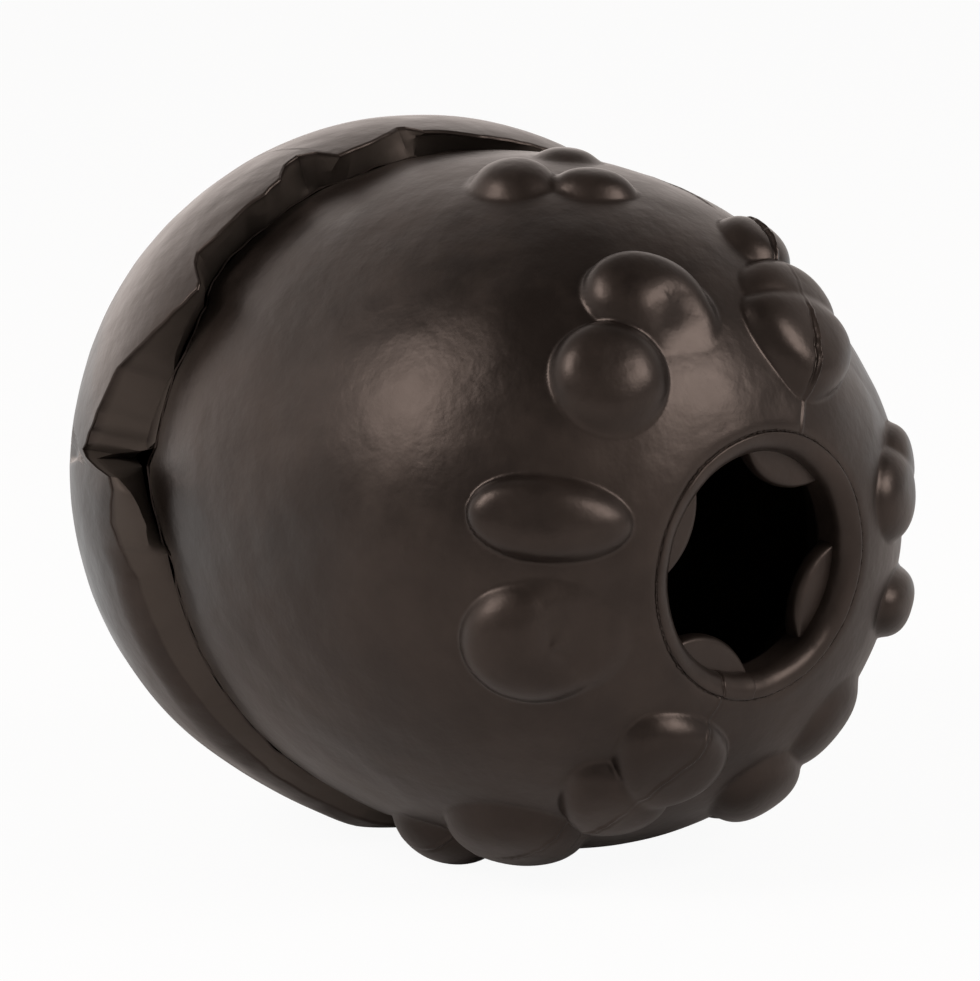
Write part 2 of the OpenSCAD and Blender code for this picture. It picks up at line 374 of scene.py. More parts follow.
@dataclass(frozen=True)
class Knob:
    """A raised lump: the cap of an egg-shaped ball that is sunk in the skin.

    x and turn place its middle, twist turns its long axis from the meridian towards the egg's left,
    and taper narrows its front. full flattens its top and steepens its sides. lean tips it up, as
    a slope, on the side that lies at lean_way from its long axis. soft is its fillet, and soft_more
    widens that fillet on the side at soft_way. hollow is the depth of a dip in it, as a share of its
    height, hollow_at how far out the dip lies, as a share of the half length or width, in the
    direction of soft_way, and hollow_size its reach as a share of the half width.
    """

    name: str
    x: float
    turn: float
    length: float
    width: float
    height: float
    twist: float = 0.0
    taper: float = 0.0
    full: float = 1.3
    lean: float = 0.0
    lean_way: float = 0.0
    soft: float = 0.7
    soft_way: float = 0.0
    soft_more: float = 0.0
    hollow: float = 0.0
    hollow_at: float = 0.4
    hollow_size: float = 0.6

    def axes(self, form: EggForm) -> tuple[Array, Array, Array, Array]:
        """The knob's middle on the skin, its long and wide directions, and its upward direction.

        Args:
            form: The egg's outline.

        Returns:
            The middle and the three directions.
        """
        x, turn = np.array([self.x]), np.array([self.turn])
        middle = form.points(x, turn)[0]
        up = form.normal(x, turn)[0]
        a = math.radians(self.turn)
        across = np.array([0, math.cos(a), -math.sin(a)])
        ahead = np.cross(across, up)
        twist = math.radians(self.twist)
        long_way = math.cos(twist) * ahead + math.sin(twist) * across
        wide_way = math.cos(twist) * across - math.sin(twist) * ahead
        return middle, long_way, wide_way, up

    def dip(self, along: Array, across: Array) -> Array:
        """Depth of the hollow.

        Args:
            along: Places along the knob.
            across: Places across it.

        Returns:
            The depth at each place.
        """
        way = math.radians(self.soft_way)
        du = along - self.hollow_at * self.length / 2 * math.cos(way)
        dv = across - self.hollow_at * self.width / 2 * math.sin(way)
        reach = self.hollow_size * self.width / 2
        return self.hollow * self.height * np.exp(-(du * du + dv * dv) / (reach * reach))

    def lift(self, form: EggForm, points: Array) -> tuple[Array, Array]:
        """Height of the knob's skin above the egg's, and the fillet's width.

        The cap is z = (height - R) + R sqrt(1 - (u / L)^2 - (v / R)^2) over the plane that touches the
        egg at the knob's middle, with R from the width and the height, and L in proportion. Its share
        t of the height then becomes 1 - (1 - t)^full.

        Args:
            form: The egg's outline.
            points: Places on the egg's skin.

        Returns:
            The height, which is negative beyond the foot, and the fillet at each place.
        """
        middle, long_way, wide_way, up = self.axes(form)
        off = points - middle
        ball = ((self.width / 2) ** 2 + self.height ** 2) / (2 * self.height)
        ball_length = ball * self.length / self.width
        u = off @ long_way / ball_length
        v = off @ wide_way / (ball * np.maximum(1 + self.taper * np.clip(u, -1, 1), 0.2))
        q = u * u + v * v
        cap = np.sqrt(np.clip(1 - q, 0, 1)) - 2.0 * np.maximum(np.sqrt(q) - 1, 0)
        lean_way = math.radians(self.lean_way)
        tip = self.lean * ball * (u * math.cos(lean_way) + v * math.sin(lean_way))
        down = off @ up
        lift = self.height - ball + ball * cap + tip - down - self.dip(off @ long_way, off @ wide_way)
        top = self.height + ball * self.lean ** 2
        share = np.clip(lift / top, -3, 1)
        lift = top * np.where(share > 0, 1 - (1 - np.maximum(share, 0)) ** self.full, share * self.full)
        lift = np.where(down < -FAR_SIDE * ball, BURIED, lift)
        way = np.arctan2(v, u) - math.radians(self.soft_way)
        soft = self.soft + self.soft_more * np.clip(np.cos(way), 0, 1)
        return np.maximum(lift, BURIED), soft


def knobs_of(form: EggForm) -> list[Knob]:
    """Every knob of the egg: the second row and the feet, then the row round the mouth.

    Args:
        form: The egg's outline.

    Returns:
        The knobs, most of whose places and sizes are shares of the nose's length and of a plain
        knob's width and height.
    """
    n, w, h = form.nose_length, 12.7, 3.6
    second = [
        Knob("crown_rear", 0.060 * n, 9, 0.56 * w, 0.56 * w, 0.34 * h, soft=0.8),
        Knob("crown_right", 0.184 * n, -9.3, 0.80 * w, 0.74 * w, 0.66 * h, full=1.2, soft=1.2),
        Knob("crown_front", 0.337 * n, -0.6, 0.74 * w, 0.54 * w, 0.58 * h, 50, full=1.2, soft=1.2),
        Knob("ridge", 0.604 * n, 23, 0.74 * w, 0.72 * w, 0.60 * h, lean=0.06, lean_way=180, soft=0.5),
        Knob("heel_right", 0.480 * n, -151.5, 1.18 * w, 1.18 * w, 0.80 * h, full=1.5, lean=0.06,
             lean_way=180, soft=0.5),
        Knob("heel_left", 0.489 * n, 151.5, 1.18 * w, 1.18 * w, 0.86 * h, full=1.5, lean=0.06,
             lean_way=180, soft=0.5),
        Knob("foot_right", 6.7, -156, w, w, h - 0.13, full=1.0, soft=0.5),
        Knob("foot_left", 6.7, 156, w, w, h - 0.13, full=1.0, soft=0.5),
    ]
    first = [
        Knob("upper_bean", 0.750 * n, -14.5, 1.12 * w, 0.90 * w, 0.84 * h, 38,
             full=1.5, lean=0.20, lean_way=130, soft=0.6, soft_way=-32, soft_more=3.4,
             hollow=0.80, hollow_at=0.66, hollow_size=0.66),
        Knob("upper_ball", 0.812 * n, -34.9, 0.97 * w, 0.96 * w, 0.80 * h,
             full=1.5, lean=0.14, lean_way=170, soft=0.5, soft_way=-60, soft_more=0.8),
        Knob("upper_oval", 0.824 * n, -71.4, 1.28 * w, 0.72 * w, 0.78 * h, 8, -0.05,
             full=1.5, lean=0.16, lean_way=185, soft=0.5, soft_way=0, soft_more=2.8),
        Knob("upper_drop", 0.830 * n, -101.6, 1.20 * w, 1.00 * w, 0.76 * h, -16, -0.05,
             full=1.3, lean=0.20, lean_way=205, soft=0.5, soft_way=30, soft_more=3.2,
             hollow=0.95, hollow_at=0.42, hollow_size=0.62),
        Knob("upper_scale", 0.772 * n, 24.5, 0.76 * w, 1.04 * w, 0.62 * h, 0, 0.1,
             full=1.6, lean=0.12, lean_way=180, soft=0.4),
        Knob("upper_shield", 0.868 * n, 24.5, 0.96 * w, 1.06 * w, 0.75 * h, 0, -0.46,
             full=1.8, lean=0.15, lean_way=180, soft=0.4),
        Knob("lower_bean", 0.743 * n, 165, 1.18 * w, 0.90 * w, 0.82 * h, 42),
        Knob("lower_ball", 0.795 * n, 145.5, 0.95 * w, 0.95 * w, 0.50 * h),
        Knob("lower_oval", 0.795 * n, 111.5, 1.00 * w, 0.66 * w, 0.74 * h, 8, -0.05),
        Knob("lower_drop_front", 0.866 * n, 82.0, 0.88 * w, 0.80 * w, 0.56 * h, full=1.5, soft=0.25),
        Knob("lower_drop_rear", 0.790 * n, 77.5, 0.80 * w, 0.62 * w, 0.46 * h, full=1.5, soft=0.25),
        Knob("lower_scale", 0.762 * n, -151.2, 0.86 * w, 1.04 * w, 0.80 * h, 0, 0.3,
             full=1.8, lean=0.10, lean_way=180, soft=0.4),
        Knob("lower_shield", 0.870 * n, -153.6, 0.98 * w, 1.08 * w, 0.84 * h, 0, 0.30,
             full=2.0, lean=0.04, lean_way=180, soft=0.4),
    ]
    return second + first


@dataclass(frozen=True)
class Rubber:
    """Black moulded rubber: a dark satin skin with a fine grain and a cloudy bloom.

    Where a piece's attribute for it is 1, its rubber is drawn paler and rougher. On the shell's broken face
    that is torn rubber, painted paler still as a painted reflection, and on the egg's skin beside the crack
    it is only a painted highlight. The bloom and the roughness follow one cloud, over cloud_reach and
    gloss_reach of its value.
    """

    name: str
    colour: tuple[float, float, float] = (0.0062, 0.0045, 0.0037)
    bloom: tuple[float, float, float] = (0.021, 0.0160, 0.0134)
    shine: tuple[float, float, float] = (1.0, 0.84, 0.76)
    # Pale colour where the attribute is 1: torn rubber, plus a painted highlight and a painted reflection
    torn: tuple[float, float, float] = (0.040, 0.034, 0.029)
    torn_and_painted_light_rough: float = 0.55
    smooth: float = 0.30
    rough: float = 0.42
    ior: float = 1.45
    grain: float = 0.10
    grain_size: float = 0.35
    grain_height: float = 0.05
    uneven: float = 0.5
    uneven_size: float = 6.5
    uneven_height: float = 0.5
    cloud_size: float = 14.0
    cloud_rough: float = 0.62
    cloud_reach: tuple[float, float] = (0.42, 0.72)
    gloss_reach: tuple[float, float] = (0.3, 0.7)

    def material(self) -> bpy.types.Material:
        """Builds the finish from nodes that read Object coordinates.

        Returns:
            The material.
        """
        made = bpy.data.materials.new(self.name)
        made.use_nodes = True
        nodes, links = made.node_tree.nodes, made.node_tree.links
        shader = nodes["Principled BSDF"]
        shader.inputs["IOR"].default_value = self.ior
        shader.inputs["Specular Tint"].default_value = (*self.shine, 1)
        place = add_node(nodes, "TexCoord").outputs["Object"]
        cloud = add_node(nodes, "TexNoise", Scale=1 / (self.cloud_size * MM), Detail=5,
                         Roughness=self.cloud_rough)
        fine = add_node(nodes, "TexNoise", Scale=1 / (self.grain_size * MM), Detail=3)
        coarse = add_node(nodes, "TexNoise", Scale=1 / (self.uneven_size * MM), Detail=4)
        share = add_node(nodes, "MapRange", From_Min=self.cloud_reach[0], From_Max=self.cloud_reach[1])
        gloss = add_node(nodes, "MapRange", From_Min=self.gloss_reach[0], From_Max=self.gloss_reach[1],
                         To_Min=self.smooth, To_Max=self.rough)
        tint = add_node(nodes, "Mix", {"data_type": "RGBA"}, A=(*self.colour, 1), B=(*self.bloom, 1))
        wave = add_node(nodes, "Bump", Strength=self.uneven, Distance=self.uneven_height * MM)
        bump = add_node(nodes, "Bump", Strength=self.grain, Distance=self.grain_height * MM)
        # Mask of the pale colour: torn rubber on the shell, painted highlight and painted reflection
        torn_and_painted_mask = add_node(nodes, "Attribute", {"attribute_name": "torn"}).outputs["Fac"]
        torn_and_painted_tint = add_node(nodes, "Mix", {"data_type": "RGBA"}, B=(*self.torn, 1))
        open_rough = add_node(nodes, "Mix", B=self.torn_and_painted_light_rough)
        for source, target in (
                (place, cloud.inputs["Vector"]),
                (place, fine.inputs["Vector"]),
                (place, coarse.inputs["Vector"]),
                (coarse.outputs["Fac"], wave.inputs["Height"]),
                (wave.outputs["Normal"], bump.inputs["Normal"]),
                (fine.outputs["Fac"], bump.inputs["Height"]),
                (cloud.outputs["Fac"], share.inputs["Value"]),
                (cloud.outputs["Fac"], gloss.inputs["Value"]),
                (share.outputs["Result"], tint.inputs["Factor"]),
                (torn_and_painted_mask, torn_and_painted_tint.inputs["Factor"]),
                (torn_and_painted_mask, open_rough.inputs["Factor"]),
                (tint.outputs["Result"], torn_and_painted_tint.inputs["A"]),
                (gloss.outputs["Result"], open_rough.inputs["A"]),
                (torn_and_painted_tint.outputs["Result"], shader.inputs["Base Color"]),
                (open_rough.outputs["Result"], shader.inputs["Roughness"]),
                (bump.outputs["Normal"], shader.inputs["Normal"])):
            links.new(source, target)
        return made


@dataclass
class Maker:
    """Turns arrays of points into finished pieces, placed in the model's frame."""

    frame: EggFrame
    form: EggForm

    def piece(self, name: str, points: Array, faces: list, finish: bpy.types.Material,
              crease: float = 38.0) -> bpy.types.Object:
        """Makes one closed piece from points in the egg's frame.

        Args:
            name: Name of the piece.
            points: Its vertices.
            faces: Vertex numbers of its faces, of any length.
            finish: Its material.
            crease: Faces that meet at more than this angle keep a sharp edge.

        Returns:
            The new object.
        """
        mesh = bpy.data.meshes.new(name)
        mesh.from_pydata(self.frame.place(points, self.form.mouth_x).tolist(), [], faces)
        mesh.validate()
        mesh.shade_smooth()
        mesh.set_sharp_from_angle(angle=math.radians(crease))
        mesh.materials.append(finish)
        mesh.update()
        made = bpy.data.objects.new(name, mesh)
        bpy.context.scene.collection.objects.link(made)
        LOG.info("%s: %d vertices, %d faces", name, len(mesh.vertices), len(mesh.polygons))
        return made

    def thread(self, name: str, turns: Array, x: Array | float, radius: Array, half: Array | float,
               finish: bpy.types.Material) -> bpy.types.Object:
        """Makes a thin thread round the egg, with four sides.

        Args:
            name: Name of the piece.
            turns: Turns of its columns, all the way round.
            x: Its middle's place along the axis.
            radius: Its middle's distance from the axis.
            half: Half its thickness, from edge to edge.
            finish: Its material.

        Returns:
            The new object.
        """
        corners = np.radians(np.arange(4) * 90)[:, None]
        rows = revolve(x + half * np.cos(corners), radius + half * np.sin(corners), np.radians(turns))
        quads = grid_quads(5, len(turns), True) % (4 * len(turns))
        return self.piece(name, rows.reshape(-1, 3), quads.tolist(), finish, 60)

    @staticmethod
    def mark_torn_and_painted_light(piece: bpy.types.Object, torn: Array) -> None:
        """Tells the rubber where the piece is drawn paler and rougher: torn rubber, painted highlights and
        painted reflections.

        Args:
            piece: The piece.
            torn: A value from 0 to 1 for each vertex, from the first on, of the pale colour. The rest get
                0.
        """
        values = np.zeros(len(piece.data.vertices), dtype=np.float32)
        values[:torn.size] = torn.ravel()
        piece.data.attributes.new("torn", "FLOAT", "POINT").data.foreach_set("value", values)


@dataclass(frozen=True)
class Break:
    """A corner of the crack. All but turn, sink and soft are places behind the egg's widest ring.

    edge is where the shell's skin ends, and foot where its broken face ends at the egg. Between them
    lies a ledge, whose depth, sink, is a share of the shell's wall. line is the rim of the egg's own
    skin, which falls away under the shell from there, and skin where it starts to slope down to that
    rim. soft tells how much the edge is worn round, from 0 to 1.
    """

    turn: float
    edge: float
    ledge: float
    sink: float
    foot: float
    line: float
    skin: float
    soft: float = 0.0


@dataclass(frozen=True)
class Crack:
    """The crack round the egg, which repeats after half a turn.

    Ahead of the crack the egg's skin rolls down over roll_length, then slopes down to its rim, and
    beyond the rim it falls by cliff_depth within cliff_length, out of sight under the shell.
    """

    breaks: tuple[Break, ...] = (
        Break(-157, 8.16, 7.48, 0.5, 6.8, 6.6, 6.2, 0.4),
        Break(-151, 10.23, 9.14, 0.42, 8.6, 8.4, 8, 0.8),
        Break(-146, 11.7, 10.48, 0.4, 9.8, 9.5, 9, 0.5),
        Break(-140, 13.65, 11.74, 0.38, 11.2, 10.9, 10.2, 0.6),
        Break(-133, 15.08, 13.18, 0.38, 12.7, 12.4, 11.5, 1),
        Break(-123, 16.24, 14.74, 0.42, 14.2, 13.9, 12.9, 1),
        Break(-115, 18.19, 16.02, 0.42, 15.2, 14.9, 13.8, 1),
        Break(-107, 19.1, 16.65, 0.42, 15.9, 15.6, 14.3, 1),
        Break(-100, 20.2, 17.48, 0.4, 16.8, 16.3, 15, 1),
        Break(-96, 22, 17.9, 0.36, 17.4, 16.9, 15.6, 0.9),
        Break(-94.5, 22.2, 17.6, 0.34, 19, 18.6, 15.9, 0.7),
        Break(-91, 23.3, 17.4, 0.3, 21.5, 20.4, 18, 0.6),
        Break(-88, 23, 18.4, 0.22, 23.5, 22, 19.4, 0.5),
        Break(-85.5, 22.9, 19.8, 0.12, 25, 23.2, 20.6, 0.4),
        Break(-83.6, 23.4, 22.4, 0.06, 26, 23.9, 21.2, 0.2),
        Break(-83, 26.6, 25.6, 0.1, 26.2, 24, 21.3),
        Break(-82.2, 30.5, 29.5, 0.12, 29.5, 24.2, 21.4),
        Break(-81.3, 32.2, 29, 0.32, 29, 23.8, 21.2),
        Break(-79.8, 31.2, 25.6, 0.58, 25.8, 23, 20.6),
        Break(-78, 30.5, 22.9, 0.88, 23.2, 22.1, 19.9),
        Break(-77.2, 30.1, 22.6, 0.94, 22.3, 22.1, 19.9),
        Break(-72, 28.3, 22.6, 0.94, 22.2, 22, 19.6),
        Break(-68.5, 27, 22.5, 0.94, 22.1, 21.9, 19.4),
        Break(-66.2, 26.3, 22.4, 0.94, 22, 21.8, 19.4),
        Break(-63.8, 24.2, 22, 0.9, 21.9, 21.6, 19.3),
        Break(-60, 21.6, 21.2, 0.82, 22, 21, 18.9),
        Break(-54, 18.5, 19.4, 0.66, 22, 21.55, 18.5),
        Break(-50.8, 17.3, 18.8, 0.6, 22, 21.55, 18.5),
        Break(-49.5, 17.8, 18.6, 0.5, 23, 22.55, 18.6),
        Break(-48, 19.2, 20, 0.4, 24, 23.55, 18.9),
        Break(-46.4, 20.6, 21.6, 0.4, 24.5, 24.05, 19.8),
        Break(-44.6, 21.5, 22, 0.4, 25, 24.55, 20.6),
        Break(-42, 20.6, 21.3, 0.38, 25.2, 24.75, 20.8),
        Break(-37.5, 19.9, 20.8, 0.36, 25, 24.55, 20.4),
        Break(-34.4, 19.6, 20.6, 0.36, 24.4, 23.95, 19.9),
        Break(-32.6, 19.2, 20.4, 0.6, 23.4, 22.95, 19.8),
        Break(-31, 18.8, 20.6, 0.8, 22.6, 22.6, 20.2),
        Break(-27, 19.1, 21.4, 0.9, 22.2, 22.3, 21.4),
        Break(-23.7, 21.1, 21.6, 0.9, 21.9, 21.7, 21.2),
        Break(-20.5, 21.5, 21.7, 0.9, 21.4, 21.2, 20.8),
        Break(-18.6, 19, 20.4, 0.9, 20.9, 20.7, 20.2),
        Break(-18, 15.6, 18.8, 0.9, 20.2, 20, 19.5),
        Break(-16, 15.3, 16.4, 0.7, 17.5, 17.3, 16.8),
        Break(-12, 15, 15.8, 0.7, 16.6, 16.4, 16),
        Break(-8.5, 15.5, 15.6, 0.6, 15.6, 15.5, 15),
        Break(-5, 16.4, 15.6, 0.5, 14.8, 14.6, 14.2),
        Break(-4, 15.9, 14.8, 0.4, 14.6, 14.3, 13.8),
        Break(-3, 13.4, 14.4, 0.3, 15.8, 15.35, 13),
        Break(0.6, 11.8, 13.2, 0.3, 15, 14.55, 11.8),
        Break(4.5, 9.6, 11, 0.3, 13, 12.55, 9.4),
        Break(8, 8.8, 9.4, 0.3, 10.8, 10.35, 8),
        Break(16.5, 6.7, 6.5, 0.5, 6.2, 6, 5.6),
    )
    roll_length: float = 4.5
    roll_depth: float = 0.12
    roll_most: float = 1.3
    slope_depth: float = 0.08
    slope_most: float = 0.2
    slope_shortest: float = 0.3
    cliff_length: float = 0.7
    cliff_depth: float = 2.0

    def corners(self) -> Array:
        """Turns of the corners all round, from -180 to 180."""
        turns = np.array([b.turn + shift for shift in (0, 180) for b in self.breaks])
        return from_line(turns, 0)

    def at(self, turns: Array, name: str) -> Array:
        """One value of the crack at each turn.

        Args:
            turns: Turns round the egg.
            name: Which of a break's values.

        Returns:
            The value, straight from corner to corner.
        """
        shifts = (-360, -180, 0, 180, 360)
        corners = [b.turn + shift for shift in shifts for b in self.breaks]
        values = [getattr(b, name) for _ in shifts for b in self.breaks]
        return np.interp(turns, corners, values)

    def slump(self, x: Array, turns: Array) -> Array:
        """How far the egg's skin rolls and slopes down towards its rim at the crack.

        Args:
            x: Places along the axis.
            turns: Turns round it.

        Returns:
            The depth.
        """
        line, skin = self.at(turns, "line"), self.at(turns, "skin")
        wide = np.maximum(line - skin, self.slope_shortest)
        roll = np.clip((self.roll_length - skin - x) / self.roll_length, 0, self.roll_most)
        slope = np.clip((-skin - x) / wide, 0, 1)
        deepest = np.minimum(self.slope_depth * wide, self.slope_most)
        return self.roll_depth * roll ** 2 + deepest * slope ** 2

    def fall(self, x: Array, turns: Array) -> Array:
        """How far the egg's skin falls below the egg's outline beside the crack and under the shell.

        Args:
            x: Places along the axis.
            turns: Turns round it.

        Returns:
            The depth.
        """
        cliff = np.clip((-self.at(turns, "line") - x) / self.cliff_length, 0, 1)
        return self.slump(x, turns) + self.cliff_depth * ease(cliff)


@dataclass
class BodyHalf:
    """Half of the hollow egg: its knobbed skin, the seat of the mouth ring and the chamber.

    The cheek is a stretch at the turn cheek_turn that is flatter than the egg by up to cheek. The flash is
    the ridge along the parting line, with a groove beside it, and flash_bend turns its lower end away from
    the line. The last two fields paint a highlight: how much paler the skin is drawn at its rim beside the
    crack, and over what width.
    """

    maker: Maker
    side: Side
    knobs: list[Knob]
    crack: Crack
    wall: float = 6.0
    nose_wall: float = 9.0
    gap: float = 0.15
    flange_radius: float = 18.2
    flange_x: float = 3.6
    collar: float = 1.6
    ring_length: float = 7.0
    neck_radius: float = 15.15
    pole_radius: float = 2.0
    line_weight: float = 3.5
    line_spread: float = 1.6
    rows: int = 262
    front_share: float = 0.62
    front_x: float = 12.0
    columns: int = 306
    shown_back: float = -33.0
    hidden_rows: int = 14
    edge_round: float = 0.45
    knob_reach: float = 75.0
    flash_bend: float = 6.0
    flash_run: float = 5.0
    flash_rise: float = 0.14
    flash_half: float = 0.30
    groove_off: float = 0.42
    groove_half: float = 0.26
    groove_depth: float = 0.7
    cheek: float = 1.1
    cheek_turn: float = 52.0
    cheek_spread: float = 21.0
    cheek_rear: float = 4.0
    cheek_rear_run: float = 20.0
    cheek_front_run: float = 8.0
    # Painted highlight: how much paler the skin is drawn at its rim beside the crack, and over what width
    painted_highlight: float = 0.6
    painted_highlight_width: float = 3.0

    def columns_at(self) -> Array:
        """Spreads the columns from one side of the half to the other, closer by the parting line.

        Returns:
            The columns' turns.
        """
        even = np.linspace(0, 180, 3601) + self.side.value
        lines = [Side.LEFT.value, Side.RIGHT.value + self.flash_bend]
        weight = np.ones(len(even))
        for line in lines:
            weight += self.line_weight * np.exp(-(from_line(even, line) / self.line_spread) ** 2)
        total = np.concatenate([[0], np.cumsum((weight[1:] + weight[:-1]) / 2)])
        return np.interp(np.linspace(0, total[-1], self.columns), total, even)

    def outer_x(self) -> Array:
        """Spreads the skin's rows, evenly along the skin where it shows.

        Returns:
            The rows' places along the axis.
        """
        form = self.maker.form
        stretches = []
        front_rows = round(self.rows * self.front_share)
        for start, end, count in ((form.mouth_x, self.front_x, front_rows),
                                  (self.front_x, self.shown_back, self.rows - front_rows + 1)):
            x = np.linspace(start, end, 3001)
            line = resample(np.stack([x, form.outline(x)], 1), np.linspace(0, 1, count))
            stretches.append(line[:, 0])
        shown = np.concatenate([stretches[0], stretches[1][1:]])
        pole = form.tail_length * math.sqrt(1 - (self.pole_radius / form.radius) ** 2)
        b = np.linspace(0, 1, self.hidden_rows)[1:] ** 0.8
        back = self.shown_back + (-pole - self.shown_back) * b
        return np.concatenate([shown, back])

    def inner_line(self) -> Array:
        """Draws the profile of the seat and the chamber, from the mouth to the rear pole.

        Returns:
            X and radius of each point.
        """
        form = self.maker.form
        m, g = form.mouth_x, self.gap
        seat = [
            (m - 0.5, form.mouth_radius + g), (m - self.collar + g, form.mouth_radius + g),
            (m - self.flange_x + g, self.flange_radius + g), (m - self.ring_length, self.flange_radius + g),
            (m - self.ring_length, self.neck_radius),
        ]
        nose = form.nose_length - self.nose_wall
        tail = form.tail_length - self.wall
        radius = form.radius - self.wall
        curve = 2 / form.nose_power
        start = math.acos((self.neck_radius / radius) ** (form.nose_power / 2))
        a = np.linspace(start, 0, 12)
        front = np.stack([nose * np.sin(a) ** curve, radius * np.cos(a) ** curve], 1)
        b = np.linspace(0, math.acos(self.pole_radius / radius), 14)[1:]
        rear = np.stack([-tail * np.sin(b), radius * np.cos(b)], 1)
        return np.concatenate([np.array(seat), front, rear])

    def skin(self, x: Array, turns: Array) -> Array:
        """The knobbed skin: the egg's outline, raised along its normal by the highest knob there.

        Args:
            x: Places along the axis, one for each row.
            turns: Turns round it, one for each column.

        Returns:
            Points of the skin.
        """
        form = self.maker.form
        xs, ts = np.meshgrid(x, turns, indexing="ij")
        base, up = form.points(xs, ts), form.normal(xs, ts)
        off = (ts - self.cheek_turn) / self.cheek_spread
        rear_share = np.clip((xs - self.cheek_rear) / self.cheek_rear_run, 0, 1)
        height = -self.cheek * np.exp(-off * off) * rear_share
        height *= np.clip((form.mouth_x - xs) / self.cheek_front_run, 0, 1)
        for knob in self.knobs:
            near = np.abs(from_line(ts, knob.turn)) < self.knob_reach
            if not near.any():
                continue
            lift, soft = knob.lift(form, base)
            height = np.where(near, smooth_max(height, lift, soft), height)
        height += faint_waves(base, (16, 6), 3)
        height += self.flash(xs, ts, height) - self.crack.fall(xs, ts)
        depth = form.mouth_x - xs
        over = np.clip(1 - depth / self.edge_round, 0, 1)
        height -= self.edge_round * (1 - np.sqrt(1 - over ** 2))
        return base + up * height[..., None]

    def flash(self, x: Array, turns: Array, height: Array) -> Array:
        """The thin broken ridge that the mould leaves along the parting line.

        Args:
            x: Places along the axis.
            turns: Turns round it.
            height: Height of the skin there.

        Returns:
            How far the ridge stands above the skin.
        """
        form = self.maker.form
        share = np.clip((form.mouth_x - x) / self.flash_run, 0, 1)
        lower = Side.RIGHT.value + self.flash_bend * ease(share)
        sides = [from_line(turns, line) for line in (Side.LEFT.value, lower)]
        off = np.where(np.abs(sides[0]) < np.abs(sides[1]), sides[0], sides[1])
        away = np.radians(off) * form.outline(x)
        place = np.stack([x, 0 * x, np.where(np.abs(sides[0]) < 90, 0, 40)], -1)
        run = ripple(place, 5.5, 11)
        fine = ripple(place, 0.9, 12)
        away = away + 0.10 * fine
        ridge = np.clip(1 - np.abs(away) / self.flash_half, 0, 1)
        groove = np.clip(1 - np.abs(away + self.groove_off) / self.groove_half, 0, 1)
        rise = np.clip(self.flash_rise + self.flash_rise * run, 0.02, 0.4)
        rise = rise * (0.4 + 0.6 * np.clip(height, 0, 1))
        return (ridge - self.groove_depth * groove) * rise

    def build(self, finish: bpy.types.Material) -> bpy.types.Object:
        """Makes the half as one closed piece.

        Args:
            finish: The rubber.

        Returns:
            The piece.
        """
        turns = self.columns_at()
        outer_x = self.outer_x()[::-1]
        outer = self.skin(outer_x, turns)
        line = self.inner_line()
        inner = revolve(line[:, :1], line[:, 1:], np.radians(turns))
        form = self.maker.form
        rows = np.concatenate([outer, inner])
        n, c = rows.shape[0], self.columns
        poles = np.array([[-form.tail_length, 0, 0], [-form.tail_length + self.wall, 0, 0]])
        points = np.concatenate([rows.reshape(-1, 3), poles])
        first, last = n * c, n * c + 1
        start = [first] + [i * c for i in range(n)] + [last]
        end = [first] + [i * c + c - 1 for i in range(n)] + [last]
        faces = grid_quads(n, c, False).tolist() + pole_fans(n, c, False) + [start, end[::-1]]
        name = "right_half_skin" if self.side is Side.RIGHT else "left_half_skin"
        made = self.maker.piece(name, points, faces, finish, 75)
        # Painted highlight: the skin is drawn paler along its rim beside the crack
        rim = outer_x[:, None] + self.crack.at(turns, "line")[None]
        self.maker.mark_torn_and_painted_light(made, self.painted_highlight * np.exp(-(rim / self.painted_highlight_width) ** 2))
        return made


